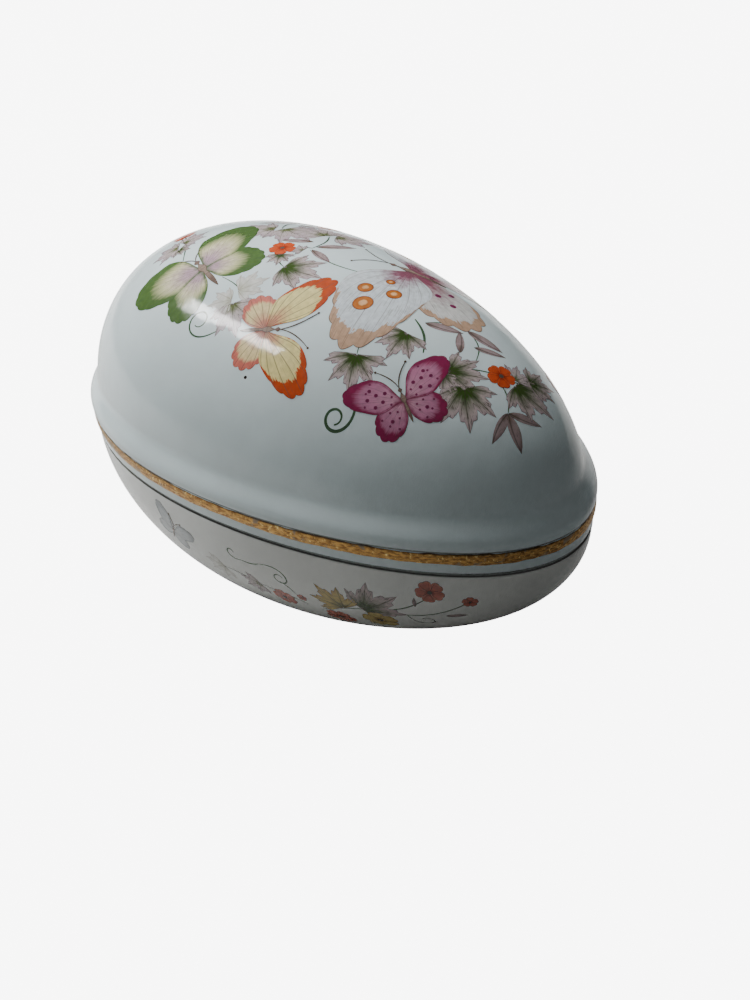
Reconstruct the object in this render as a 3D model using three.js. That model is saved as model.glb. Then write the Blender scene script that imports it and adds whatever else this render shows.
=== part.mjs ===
// An egg-shaped porcelain trinket box that lies on its side and opens along its waist.
// It is two slip-cast pieces: a base bowl on an oval foot ring, and a domed lid with a rolled shoulder
// and an upright band at its rim. A low collar inside the base's rim keeps the loose lid in place.
// Millimetres, +Z up, the narrow end of the egg towards +X, the origin on the table under its middle.
import * as THREE from "three";

// Driving dimensions.
const BODY = { length: 67.8, width: 38.6 }; // half sizes of the egg where the lid's dome springs
const TAPER = 0.16; // how much narrower the +X end is than the -X end
const SEAM = 36; // height of the base's seat above the table
const SEAT_GAP = 0.25; // between the seat and the lid's bottom edge
const SPRING = 7; // the dome springs this far above the seam
const DOME_HEIGHT = 37.3;
const DOME_FULLNESS = 0.88; // below 1, the ends of the dome are blunter than a turned egg's
const BASE_DEPTH = 39.8; // of the whole lower half egg, before the foot cuts it short
const BASE_FULLNESS = 1.05;
const WALL = 3.6;

// The lid's shoulder and band, as distances out from the outline of BODY and up from the seam.
const SHOULDER = 2.2; // how far the shoulder rolls out past the dome
const COVE_HEIGHT = 5; // the hollow curve from the dome down to the shoulder
const BAND = { top: 5.4, bottom: 2.8, out: 1.9, belly: 0.15 };
const LIP = { out: 1.6, round: 0.7 };
const REBATE = 1.7; // how far the inside of the lid steps out near the rim
const REBATE_HEIGHT = 6;

// The base's rim, collar and foot.
const BASE_RIM = 1.5; // how far the base's edge stands out from the outline of BODY
const COLLAR = { outside: -2.6, inside: -4.6, height: 3.2, round: 0.7 };
const BASE_WALL = 3.9;
const THICKENING = 9; // depth over which the wall thickens up to the collar
const FLOOR_DEPTH = 30.3;
const FLOOR_SHARPNESS = 12; // how tightly the bowl's side turns into its flat floor
const FOOT = { height: 2.2, inset: 0.7, width: 2.6, recess: 1.8, chamfer: 0.4 };

const BASE_WHITE = 0xdfe3df;
const LID_WHITE = 0xdde6e6;
const GLAZE_ROUGHNESS = 0.12;

// How finely the surfaces are divided: points in a ring, and rings on each surface.
const STEPS_ROUND = 56;
const RINGS = { lidOutside: 16, lidInside: 9, bowl: 11, baseOutside: 10 };
const LAST_TILT = 81; // degrees above the rim of the ring nearest a pole
const TINY = 1e-6; // keeps a depth or a half width of zero out of a division

const crownX = (egg) => (egg.length * (Math.sqrt(1 + 4 * TAPER * TAPER) - 1)) / (-2 * TAPER);

const grown = (egg, by) => ({ ...egg, length: egg.length + by, width: egg.width + by });
const smooth = (u) => THREE.MathUtils.smoothstep(u, 0, 1);

// The egg outline at an angle: an ellipse whose half width shrinks exponentially towards +X.
function outline(egg, angle) {
  const narrowing = Math.exp(-TAPER * Math.cos(angle));
  return new THREE.Vector2(egg.length * Math.cos(angle), egg.width * Math.sin(angle) * narrowing);
}

// The unit vector square to the outline, pointing out.
function outward(egg, angle) {
  const alongX = -egg.length * Math.sin(angle);
  const turn = Math.cos(angle) + TAPER * Math.sin(angle) ** 2;
  const alongY = egg.width * Math.exp(-TAPER * Math.cos(angle)) * turn;
  return new THREE.Vector2(alongY, -alongX).normalize();
}

// The half width of the egg at x.
function halfWidth(egg, x) {
  const share = x / egg.length;
  return egg.width * Math.sqrt(Math.max(0, 1 - share * share)) * Math.exp(-TAPER * share);
}

// How far a half egg has risen over the plan point (x, y): round sections across, an egg's curve along.
function rise(egg, x, y) {
  const half = Math.max(halfWidth(egg, x), TINY);
  const across = Math.sqrt(Math.max(0, 1 - (y / half) ** 2));
  return egg.height * (half / halfWidth(egg, crownX(egg))) ** egg.fullness * across;
}

// The plan point at an angle, on a share of the way from under the crown to the outline.
function planPoint(egg, angle, share) {
  const edge = outline(egg, angle);
  return new THREE.Vector2(crownX(egg) + share * (edge.x - crownX(egg)), share * edge.y);
}

// A ring of points over a half egg. tilt is the angle above the rim in degrees, or a function that gives it
// at each angle round, and shape turns the rise into [out, z].
function eggRing(egg, tilt, shape) {
  return (angle) => {
    const above = typeof tilt === "function" ? tilt(angle) : tilt;
    const { x, y } = planPoint(egg, angle, Math.cos(THREE.MathUtils.degToRad(above)));
    const [out, z] = shape(above === 0 ? 0 : rise(egg, x, y));
    const push = outward(egg, angle).multiplyScalar(out);
    return [x + push.x, y + push.y, z];
  };
}

// The tilt at which the half egg has risen by a given height, found by halving, so that its ring is level.
function tiltAtRise(egg, angle, height) {
  let [low, high] = [0, 90];
  while (high - low > TINY) {
    const tilt = (low + high) / 2;
    const { x, y } = planPoint(egg, angle, Math.cos(THREE.MathUtils.degToRad(tilt)));
    if (rise(egg, x, y) < height) low = tilt;
    else high = tilt;
  }
  return low;
}

// A ring of points at a distance out from the outline of BODY.
function rimRing(out, z) {
  return (angle) => {
    const edge = outline(BODY, angle).addScaledVector(outward(BODY, angle), out);
    return [edge.x, edge.y, z];
  };
}

// A quarter of an ellipse from one [out, z] to another, leaving the first upright or level.
function quarter(from, to, leaves, steps) {
  return Array.from({ length: steps }, (_, i) => {
    const turn = ((i + 1) / (steps + 1)) * (Math.PI / 2);
    const early = Math.sin(turn);
    const late = 1 - Math.cos(turn);
    const [u, v] = leaves === "upright" ? [late, early] : [early, late];
    return [from[0] + (to[0] - from[0]) * u, from[1] + (to[1] - from[1]) * v];
  });
}

// Evenly spaced numbers from one to another.
function spaced(from, to, count) {
  return Array.from({ length: count }, (_, i) => from + ((to - from) * i) / (count - 1));
}

// Joins a stack of rings into one closed surface. The first and last rings close on a single point each.
function skin(rings, firstPole, lastPole) {
  const positions = [...firstPole];
  for (const ring of rings) {
    for (let i = 0; i < STEPS_ROUND; i++) positions.push(...ring((2 * Math.PI * i) / STEPS_ROUND));
  }
  positions.push(...lastPole);
  const last = positions.length / 3 - 1;
  const at = (ring, i) => 1 + ring * STEPS_ROUND + (i % STEPS_ROUND);
  const index = [];
  for (let i = 0; i < STEPS_ROUND; i++) {
    index.push(0, at(0, i), at(0, i + 1));
    for (let r = 0; r + 1 < rings.length; r++) {
      index.push(at(r, i), at(r + 1, i), at(r + 1, i + 1));
      index.push(at(r, i), at(r + 1, i + 1), at(r, i + 1));
    }
    index.push(last, at(rings.length - 1, i + 1), at(rings.length - 1, i));
  }
  const geometry = new THREE.BufferGeometry();
  geometry.setAttribute("position", new THREE.Float32BufferAttribute(positions, 3));
  geometry.setIndex(index);
  geometry.computeVertexNormals();
  return geometry;
}

// The lid: crown, dome, cove and shoulder, band, lip, then the inside back up to the crown.
function lidGeometry() {
  const outside = { ...BODY, height: DOME_HEIGHT, fullness: DOME_FULLNESS };
  const inside = { ...grown(outside, -WALL), height: DOME_HEIGHT - WALL };
  const springZ = SEAM + SPRING;
  const domeShape = (up) => [SHOULDER * (1 - smooth(up / COVE_HEIGHT)), springZ + up];
  const innerShape = (up) => [REBATE * (1 - smooth(up / REBATE_HEIGHT)), springZ + up];
  const seatOut = LIP.out - LIP.round;
  const rim = [
    ...quarter([SHOULDER, SPRING], [BAND.out, BAND.top], "upright", 2),
    [BAND.out, BAND.top],
    [BAND.out + BAND.belly, (BAND.top + BAND.bottom) / 2],
    [BAND.out, BAND.bottom],
    [LIP.out, SEAT_GAP + LIP.round],
    ...quarter([LIP.out, SEAT_GAP + LIP.round], [seatOut, SEAT_GAP], "upright", 1),
    [seatOut, SEAT_GAP],
    [REBATE - WALL, SEAT_GAP],
  ];
  return skin(
    [
      ...spaced(LAST_TILT, 0, RINGS.lidOutside).map((tilt) => eggRing(outside, tilt, domeShape)),
      ...rim.map(([out, up]) => rimRing(out, SEAM + up)),
      ...spaced(0, LAST_TILT, RINGS.lidInside).map((tilt) => eggRing(inside, tilt, innerShape)),
    ],
    [crownX(outside), 0, springZ + outside.height],
    [crownX(inside), 0, springZ + inside.height],
  );
}

// The base: the bowl's floor, up to the collar, over the seat, then down the outside to the foot.
function baseGeometry() {
  const outside = { ...grown(BODY, BASE_RIM), height: BASE_DEPTH, fullness: BASE_FULLNESS };
  const inside = { ...grown(outside, -BASE_WALL), height: BASE_DEPTH - WALL };
  const bottomShape = (down) => [0, SEAM - down];
  const collarPush = COLLAR.inside - (inside.length - BODY.length);
  const floorShape = (down) => {
    const blend = Math.max(down, TINY) ** -FLOOR_SHARPNESS + FLOOR_DEPTH ** -FLOOR_SHARPNESS;
    const depth = blend ** (-1 / FLOOR_SHARPNESS);
    return [collarPush * (1 - smooth(down / THICKENING)), SEAM - depth];
  };
  const footTilt = (angle) => tiltAtRise(outside, angle, SEAM - FOOT.height);
  const bodyRing = (part) => eggRing(outside, (angle) => part * footTilt(angle), bottomShape);
  const footRing = (inset, z) => eggRing(outside, footTilt, () => [-inset, z]);
  const footInside = FOOT.inset + FOOT.width;
  const { round } = COLLAR;
  const [innerTop, outerTop] = [COLLAR.inside + round, COLLAR.outside - round];
  const shoulder = COLLAR.height - round;
  const rim = [
    [COLLAR.inside, shoulder],
    ...quarter([COLLAR.inside, shoulder], [innerTop, COLLAR.height], "upright", 1),
    [innerTop, COLLAR.height],
    [outerTop, COLLAR.height],
    ...quarter([outerTop, COLLAR.height], [COLLAR.outside, shoulder], "level", 1),
    [COLLAR.outside, shoulder],
    [COLLAR.outside, 0],
    [BASE_RIM - round, 0],
    ...quarter([BASE_RIM - round, 0], [BASE_RIM, -round], "level", 1),
    [BASE_RIM, -round],
  ];
  return skin(
    [
      ...spaced(LAST_TILT, 0, RINGS.bowl).map((tilt) => eggRing(inside, tilt, floorShape)),
      ...rim.map(([out, up]) => rimRing(out, SEAM + up)),
      ...spaced(0, 1, RINGS.baseOutside + 1).slice(1).map(bodyRing),
      footRing(FOOT.inset, FOOT.height - FOOT.chamfer),
      footRing(FOOT.inset, FOOT.chamfer),
      footRing(FOOT.inset + FOOT.chamfer, 0),
      footRing(footInside - FOOT.chamfer, 0),
      footRing(footInside, FOOT.recess),
    ],
    [crownX(inside), 0, floorShape(inside.height)[1]],
    [crownX(outside), 0, FOOT.recess],
  );
}

function porcelain(name, geometry, color) {
  const glaze = new THREE.MeshStandardMaterial({ color, roughness: GLAZE_ROUGHNESS, metalness: 0 });
  const mesh = new THREE.Mesh(geometry, glaze);
  mesh.name = name;
  return mesh;
}

const box = new THREE.Group();
box.add(porcelain("base", baseGeometry(), BASE_WHITE));
box.add(porcelain("lid", lidGeometry(), LID_WHITE));

export default box;
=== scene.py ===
"""An egg-shaped porcelain trinket box with butterflies and flowers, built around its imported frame."""
import math
from types import SimpleNamespace

import bpy
import numpy as np
from mathutils import Euler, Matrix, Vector


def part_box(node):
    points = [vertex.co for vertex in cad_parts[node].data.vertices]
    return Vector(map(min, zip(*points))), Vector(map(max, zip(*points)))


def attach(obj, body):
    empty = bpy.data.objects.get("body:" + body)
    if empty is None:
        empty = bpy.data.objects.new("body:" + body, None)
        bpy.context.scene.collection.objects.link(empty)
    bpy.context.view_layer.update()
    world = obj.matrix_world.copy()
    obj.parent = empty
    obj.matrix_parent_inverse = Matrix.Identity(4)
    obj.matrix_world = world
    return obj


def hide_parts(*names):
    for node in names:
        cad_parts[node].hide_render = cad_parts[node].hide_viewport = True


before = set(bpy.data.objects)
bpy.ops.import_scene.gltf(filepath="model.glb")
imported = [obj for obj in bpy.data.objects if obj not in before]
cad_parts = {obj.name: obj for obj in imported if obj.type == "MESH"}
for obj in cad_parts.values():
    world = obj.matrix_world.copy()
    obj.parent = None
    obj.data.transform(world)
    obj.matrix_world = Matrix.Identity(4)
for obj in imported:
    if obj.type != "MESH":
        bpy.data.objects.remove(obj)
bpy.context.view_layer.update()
MM = 0.001  # every shape below is worked out in millimetres, and its mesh is in metres

# ---------------------------------------------------------------- camera
# A 45 mm lens held above the near side of the box, a little round towards its narrow end. It is
# tilted a few degrees, as a camera held in the hand is.
camera = bpy.data.objects.new("camera", bpy.data.cameras.new("camera"))
camera.data.lens = 44.64
camera.location = (0.1942, -0.1492, 0.1739)
camera.rotation_euler = [math.radians(turn) for turn in (57.42, 4.25, 47.85)]
bpy.context.scene.collection.objects.link(camera)
bpy.context.scene.camera = camera


# ---------------------------------------------------------------- lid
# The lid: one shell of hard porcelain, slip cast and glazed inside and out. It has a rolled shoulder,
# an undercut, an upright band that takes the gilding, and a thin lip that sits on the base.
TAPER = 0.16  # how much narrower the egg's +X end is than its -X end
STEPS_ROUND = 280
ANGLES = np.arange(STEPS_ROUND) * 2 * math.pi / STEPS_ROUND
SEAM = 36.0
SPRING = 7.0  # the dome springs this far above the seam
SHOULDER = 2.2  # how far the shoulder rolls out past the dome
COVE_HEIGHT = 5.0  # the hollow curve from the dome down to the shoulder
BAND = SimpleNamespace(top=5.4, bottom=2.8, out=1.9, belly=0.15)
LIP = SimpleNamespace(out=1.6, round=0.7)
LID_WALL = 3.6
REBATE = 1.7  # the inside of the lid steps out by this much near its rim
REBATE_HEIGHT = 6.0
lid_low, lid_high = np.array(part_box("lid")) / MM


def egg(length, width, height, fullness, level, up):
    """A half egg's sizes: half length and half width at its rim, its height, how full its ends are,
    the level of its rim, and 1 for a dome or -1 for a bowl."""
    crown = -length * (math.sqrt(1 + 4 * TAPER**2) - 1) / (2 * TAPER)
    return SimpleNamespace(
        length=length, width=width, height=height, fullness=fullness, level=level, up=up, crown=crown
    )


def half_width(shape, x):
    """Half the egg's width at x: an ellipse's, narrowed exponentially towards +X."""
    share = np.clip(x / shape.length, -1, 1)
    return np.maximum(shape.width * np.sqrt(1 - share**2) * np.exp(-TAPER * share), 1e-9)


def ridge(shape, x):
    """How far the egg's ridge line stands from its rim level at x: its width there, to a power."""
    return shape.height * (half_width(shape, x) / half_width(shape, shape.crown)) ** shape.fullness


def outline(shape, angle):
    """The plan outline of the egg at each angle round it, and the unit vector square to it."""
    narrow = np.exp(-TAPER * np.cos(angle))
    edge = np.stack([shape.length * np.cos(angle), shape.width * np.sin(angle) * narrow], -1)
    along_y = shape.width * narrow * (np.cos(angle) + TAPER * np.sin(angle) ** 2)
    out = np.stack([along_y, shape.length * np.sin(angle)], -1)
    return edge, out / np.linalg.norm(out, axis=-1, keepdims=True)


def egg_rings(shape, tilts, push, height):
    """Rings over a half egg at tilts (degrees above its rim). Each plan point is a share, the tilt's
    cosine, of the way from under the crown to the outline. push and height turn the rise there into
    how far the point moves out and how high it stands."""
    share = np.cos(np.radians(np.reshape(tilts, (len(tilts), -1))))
    edge, out = outline(shape, ANGLES)
    x = shape.crown + share * (edge[:, 0] - shape.crown)
    y = share * edge[:, 1]
    across = np.sqrt(np.clip(1 - (y / half_width(shape, x)) ** 2, 0, 1))
    rise = np.where(np.abs(share) < 1, ridge(shape, x) * across, 0)
    return np.stack([x + push(rise) * out[:, 0], y + push(rise) * out[:, 1], height(rise)], -1)


def rim_rings(profile):
    """Rings round the rim: each (out, up) of the profile follows the lid's outline, that far out from it
    and up from the seam."""
    edge, out = outline(lid_egg, ANGLES)
    profile = np.asarray(profile)[:, :, None]
    plan = edge[None] + profile[:, 0, :, None] * out[None]
    up = np.broadcast_to(SEAM + profile[:, 1], plan.shape[:2])
    return np.concatenate([plan, up[..., None]], -1)


def quarter(start, end, leaves, steps):
    """A quarter of an ellipse between two (out, up) points, leaving the first one upright or level."""
    turn = np.linspace(0, math.pi / 2, steps + 2)[1:-1]
    early, late = np.sin(turn), 1 - np.cos(turn)
    u, v = (late, early) if leaves == "upright" else (early, late)
    return np.stack([start[0] + (end[0] - start[0]) * u, start[1] + (end[1] - start[1]) * v], -1)


def straight(start, end, steps):
    """Points from one (out, up) to another, both ends included."""
    return np.linspace(start, end, steps)


def smooth(value):
    """The cubic that eases from 0 to 1."""
    value = np.clip(value, 0, 1)
    return value * value * (3 - 2 * value)


def new_object(name, points, faces, materials, sharp=35):
    """A mesh object from points in millimetres and faces, smooth but for edges sharper than an angle."""
    mesh = bpy.data.meshes.new(name)
    mesh.from_pydata((points * MM).tolist(), [], faces)
    for material in materials:
        mesh.materials.append(material)
    mesh.shade_smooth()
    mesh.set_sharp_from_angle(angle=math.radians(sharp))
    thing = bpy.data.objects.new(name, mesh)
    bpy.context.scene.collection.objects.link(thing)
    return thing


def shell(name, rings, first_pole, last_pole, material):
    """One closed skin: a stack of rings, with a fan of triangles to a pole at each end."""
    count = len(rings)
    points = np.vstack([first_pole, rings.reshape(-1, 3), last_pole])
    here = 1 + np.arange(count * STEPS_ROUND).reshape(count, STEPS_ROUND)
    after = np.roll(here, -1, axis=1)
    quads = np.stack([here[:-1], here[1:], after[1:], after[:-1]], -1).reshape(-1, 4)
    first = np.stack([0 * here[0], here[0], after[0]], -1)
    last = np.stack([0 * here[-1] + len(points) - 1, after[-1], here[-1]], -1)
    return new_object(name, points, quads.tolist() + first.tolist() + last.tolist(), [material])


def add_node(tree, kind, sockets=None, **settings):
    """Adds a node. A socket's value is set, or linked where it is another node's output."""
    node = tree.nodes.new("ShaderNode" + kind)
    for key, value in settings.items():
        setattr(node, key, value)
    for key, value in (sockets or {}).items():
        if isinstance(value, bpy.types.NodeSocket):
            tree.links.new(value, node.inputs[key])
        else:
            node.inputs[key].default_value = value
    return node


def sums(tree, operation, first, second=0.0):
    """One arithmetic step, as an output socket."""
    return add_node(tree, "Math", {0: first, 1: second}, operation=operation).outputs[0]


def ease(tree, value, low, high, start=0.0, end=1.0):
    """start below low, end above high, and a smooth step between them."""
    sockets = {"Value": value, "From Min": low, "From Max": high, "To Min": start, "To Max": end}
    return add_node(tree, "MapRange", sockets, interpolation_type="SMOOTHSTEP").outputs[0]


def mixed(tree, share, first, second, blend="MIX"):
    """Two colours mixed by a share, as an output socket."""
    sockets = {0: share, 6: first, 7: second}
    return add_node(tree, "Mix", sockets, data_type="RGBA", blend_type=blend).outputs[2]


def dimmed(tree, colour, tone):
    """A colour multiplied by a tone, as an output socket."""
    grey = add_node(tree, "CombineColor", {0: tone, 1: tone, 2: tone}).outputs[0]
    return mixed(tree, 1.0, colour, grey, "MULTIPLY")


def on_object(tree):
    """The object's own coordinates, as an output socket."""
    return add_node(tree, "TexCoord").outputs["Object"]


def noise(tree, at, scale, detail, roughness=0.5):
    """A noise from 0 to 1, as an output socket."""
    sockets = {"Vector": at, "Scale": scale, "Detail": detail, "Roughness": roughness}
    return add_node(tree, "TexNoise", sockets).outputs[0]


def new_group(name, inputs, outputs):
    """An empty shader node group with named sockets: its tree, its input sockets and its output node."""
    tree = bpy.data.node_groups.new(name, "ShaderNodeTree")
    kinds = {"colour": "NodeSocketColor", "number": "NodeSocketFloat"}
    for label, kind in inputs.items():
        tree.interface.new_socket(label, in_out="INPUT", socket_type=kinds[kind])
    for label, kind in outputs.items():
        tree.interface.new_socket(label, in_out="OUTPUT", socket_type=kinds[kind])
    return tree, tree.nodes.new("NodeGroupInput").outputs, tree.nodes.new("NodeGroupOutput")


def feed(tree, output, **sockets):
    """Links sockets to the inputs of a group's output node."""
    for label, socket in sockets.items():
        tree.links.new(socket, output.inputs[label])


def fired_glaze():
    """The glaze as the kiln leaves it: a faint drift of tone, rare iron specks, and a skin that is a
    little uneven. Height is in metres."""
    tree, given, output = new_group(
        "fired_glaze", {"Colour": "colour"}, {"Colour": "colour", "Roughness": "number", "Height": "number"}
    )
    place = on_object(tree)
    drift = noise(tree, place, 45.0, 3.0)
    shade = ease(tree, drift, 0.3, 0.7, 0.93, 1.0)
    toned = dimmed(tree, given["Colour"], shade)
    cells = add_node(tree, "TexVoronoi", {"Vector": place, "Scale": 95.0})
    near = ease(tree, cells.outputs["Distance"], 0.010, 0.022, 1.0, 0.0)
    lot = add_node(tree, "SeparateColor", {0: cells.outputs["Color"]}).outputs[0]
    rare = sums(tree, "GREATER_THAN", lot, 0.93)
    speck = sums(tree, "MULTIPLY", near, rare)
    specked = mixed(tree, sums(tree, "MULTIPLY", speck, 0.75), toned, (0.07, 0.055, 0.04, 1))
    fine = noise(tree, place, 700.0, 2.0)
    rough = ease(tree, fine, 0.35, 0.75, 0.10, 0.17)
    swell = noise(tree, place, 55.0, 1.0)
    peel = noise(tree, place, 260.0, 1.0)
    waves = sums(tree, "ADD", sums(tree, "MULTIPLY", swell, 1.6e-4), sums(tree, "MULTIPLY", peel, 9e-5))
    height = sums(tree, "ADD", waves, sums(tree, "MULTIPLY", fine, 1.2e-6))
    feed(tree, output, Colour=specked, Roughness=rough, Height=height)
    return tree


GLAZE = fired_glaze()


def new_material(name):
    """A new material with a Principled shader: its tree and the shader node."""
    material = bpy.data.materials.new(name)
    material.use_nodes = True
    return material, material.node_tree, material.node_tree.nodes["Principled BSDF"]


def glazed(tree, shader, colour):
    """Lays the glaze over a colour, or over a colour socket, on a shader. Returns the glaze's outputs."""
    skin = add_node(tree, "Group", {"Colour": colour}, node_tree=GLAZE).outputs
    bump = add_node(tree, "Bump", {"Height": skin["Height"], "Distance": 1.0})
    tree.links.new(skin["Colour"], shader.inputs["Base Color"])
    tree.links.new(skin["Roughness"], shader.inputs["Roughness"])
    tree.links.new(bump.outputs[0], shader.inputs["Normal"])
    return skin


def painted_crevice_shade(tree, colour, height, below, above):
    """A colour darkened by painted shade in a crevice at a height, fading out over the two distances."""
    place = on_object(tree)
    up = add_node(tree, "SeparateXYZ", {0: place}).outputs["Z"]
    under = ease(tree, up, (height - below) * MM, height * MM)
    over = ease(tree, up, height * MM, (height + above) * MM, 1.0, 0.0)
    # How much painted shade: full at the height, and none past the given distances below and above it.
    shade_strength = sums(tree, "MULTIPLY", sums(tree, "MULTIPLY", under, over), 0.92)
    return mixed(tree, shade_strength, colour, (0.03, 0.026, 0.02, 1))


def lid_porcelain():
    """Bluish white porcelain, with painted shade in the undercut over the band and at the seam."""
    material, tree, shader = new_material("lid_porcelain")
    # Painted shade: a dark line under the shoulder over the band, and one at the lip's bottom edge by the
    # seam.
    over_band = painted_crevice_shade(tree, (0.585, 0.68, 0.695, 1), SEAM + BAND.top + 0.1, 0.3, 0.5)
    at_seam = painted_crevice_shade(tree, over_band, lid_low[2] + 0.2, 0.2, 0.3)
    glazed(tree, shader, at_seam)
    return material


lid_egg = egg(
    length=(lid_high[0] - lid_low[0]) / 2 - SHOULDER,
    width=38.6,
    height=lid_high[2] - SEAM - SPRING,
    fullness=0.88,
    level=SEAM + SPRING,
    up=1,
)
lid_inside = egg(
    lid_egg.length - LID_WALL, lid_egg.width - LID_WALL, lid_egg.height - LID_WALL, 0.88, lid_egg.level, 1
)
seat = lid_low[2] - SEAM


def band_out(up):
    """How far the band stands out at a height: a shallow arc between its two edges."""
    middle, half = (BAND.top + BAND.bottom) / 2, (BAND.top - BAND.bottom) / 2
    return BAND.out + BAND.belly * (1 - ((up - middle) / half) ** 2)


band_up = np.linspace(BAND.top, BAND.bottom, 9)
lid_rim = np.vstack(
    [
        quarter((SHOULDER, SPRING), (BAND.out, BAND.top), "upright", 9),
        np.stack([band_out(band_up), band_up], -1),
        straight((BAND.out - 0.02, BAND.bottom - 0.15), (LIP.out, seat + LIP.round), 6),
        quarter((LIP.out, seat + LIP.round), (LIP.out - LIP.round, seat), "upright", 5),
        straight((LIP.out - LIP.round, seat), (REBATE - LID_WALL, seat), 5),
    ]
)
lid_rings = np.concatenate(
    [
        egg_rings(
            lid_egg,
            np.linspace(89.4, 0, 96),
            lambda rise: SHOULDER * (1 - smooth(rise / COVE_HEIGHT)),
            lambda rise: lid_egg.level + rise,
        ),
        rim_rings(lid_rim),
        egg_rings(
            lid_inside,
            np.linspace(0, 89.4, 60),
            lambda rise: REBATE * (1 - smooth(rise / REBATE_HEIGHT)),
            lambda rise: lid_egg.level + rise,
        ),
    ]
)
lid = shell(
    "lid_porcelain_shell",
    lid_rings,
    (lid_egg.crown, 0, lid_egg.level + lid_egg.height),
    (lid_inside.crown, 0, lid_egg.level + lid_inside.height),
    lid_porcelain(),
)
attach(lid, "lid")
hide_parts("lid")

# ---------------------------------------------------------------- base
# The base: a bowl of the same porcelain on an oval foot ring. A low collar stands up inside its rim
# and keeps the loose lid in place. The foot's face and the collar's top are wiped clean of glaze.
BASE_RIM = 1.5  # how far the base's edge stands out from the lid's outline
BASE_WALL = 3.9
THICKENING = 9.0  # depth over which the wall thickens up to the collar
FLOOR_SHARPNESS = 12  # how tightly the bowl's side turns into its floor
COLLAR = SimpleNamespace(outside=-2.6, inside=-4.6, height=3.2, round=0.7)
FOOT = SimpleNamespace(height=2.2, inset=0.7, width=2.6, recess=1.8, chamfer=0.4)
EDGE_ROUND = 0.7


def base_porcelain():
    """Greyer white porcelain, with bare biscuit on the foot's face and on the collar above the seam."""
    material, tree, shader = new_material("base_porcelain")
    # The glaze gets painted shade: a thin dark line just below the seam, under the lid's lip.
    skin = glazed(tree, shader, painted_crevice_shade(tree, (0.64, 0.655, 0.63, 1), SEAM - 0.2, 0.25, 0.22))
    place = on_object(tree)
    up = add_node(tree, "SeparateXYZ", {0: place}).outputs["Z"]
    grain = noise(tree, place, 1800.0, 3.0)
    edge = sums(tree, "MULTIPLY", sums(tree, "SUBTRACT", grain, 0.5), 0.0006)
    ragged = sums(tree, "ADD", up, edge)
    foot = ease(tree, ragged, 0.0002, 0.0005, 1.0, 0.0)
    collar = ease(tree, ragged, (SEAM + 2.6) * MM, (SEAM + 2.9) * MM)
    bare = sums(tree, "MAXIMUM", foot, collar)
    biscuit = mixed(tree, grain, (0.42, 0.36, 0.29, 1), (0.60, 0.55, 0.47, 1))
    tree.links.new(mixed(tree, bare, skin["Colour"], biscuit), shader.inputs["Base Color"])
    matt = sums(tree, "MAXIMUM", skin["Roughness"], sums(tree, "MULTIPLY", bare, 0.75))
    tree.links.new(matt, shader.inputs["Roughness"])
    return material


def tilt_at_rise(shape, height):
    """The tilt, at each angle round, where the half egg has risen by a height: found by halving."""
    low, high = np.zeros(STEPS_ROUND), np.full(STEPS_ROUND, 90.0)
    for _ in range(40):
        tilt = (low + high) / 2
        rise = egg_rings(shape, tilt[None], lambda up: 0 * up, lambda up: up)[0, :, 2]
        low, high = np.where(rise < height, tilt, low), np.where(rise < height, high, tilt)
    return low


base_egg = egg(lid_egg.length + BASE_RIM, lid_egg.width + BASE_RIM, 39.8, 1.05, SEAM, -1)
bowl = egg(base_egg.length - BASE_WALL, base_egg.width - BASE_WALL, 36.2, 1.05, SEAM, -1)
FLOOR_DEPTH = 30.3
bowl_push = COLLAR.inside - (bowl.length - lid_egg.length)


def bowl_depth(rise):
    """The bowl's depth: its egg's rise, held back as it nears the flat floor."""
    power = -FLOOR_SHARPNESS
    return (np.maximum(rise, 1e-6) ** power + FLOOR_DEPTH**power) ** (1 / power)


def foot_ring(inset, level):
    """One ring of the foot, in from the body's section at the foot's top, at a level above the table."""
    return egg_rings(base_egg, foot_tilt[None], lambda rise: 0 * rise - inset, lambda rise: 0 * rise + level)


foot_tilt = tilt_at_rise(base_egg, SEAM - FOOT.height)
foot_inside = FOOT.inset + FOOT.width
shoulder = COLLAR.height - COLLAR.round
inner_top, outer_top = COLLAR.inside + COLLAR.round, COLLAR.outside - COLLAR.round
base_rim = np.vstack(
    [
        [[COLLAR.inside, shoulder]],
        quarter((COLLAR.inside, shoulder), (inner_top, COLLAR.height), "upright", 5),
        straight((inner_top, COLLAR.height), (outer_top, COLLAR.height), 3),
        quarter((outer_top, COLLAR.height), (COLLAR.outside, shoulder), "level", 5),
        straight((COLLAR.outside, shoulder), (COLLAR.outside, 0.3), 5),
        straight((COLLAR.outside + 0.3, 0), (BASE_RIM - EDGE_ROUND, 0), 5),
        quarter((BASE_RIM - EDGE_ROUND, 0), (BASE_RIM, -EDGE_ROUND), "level", 6),
    ]
)
foot_profile = [
    (0.15, FOOT.height + 0.25),
    (0.45, FOOT.height + 0.02),
    (FOOT.inset - 0.06, FOOT.height - 0.35),
    (FOOT.inset, FOOT.height - 0.8),
    (FOOT.inset, FOOT.chamfer),
    (FOOT.inset + 0.12, 0.12),
    (FOOT.inset + FOOT.chamfer, 0),
    (foot_inside - FOOT.chamfer, 0),
    (foot_inside - 0.12, 0.12),
    (foot_inside, FOOT.chamfer),
    (foot_inside, FOOT.recess - 0.4),
    (foot_inside + 0.12, FOOT.recess - 0.1),
    (foot_inside + 0.5, FOOT.recess),
]
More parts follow.
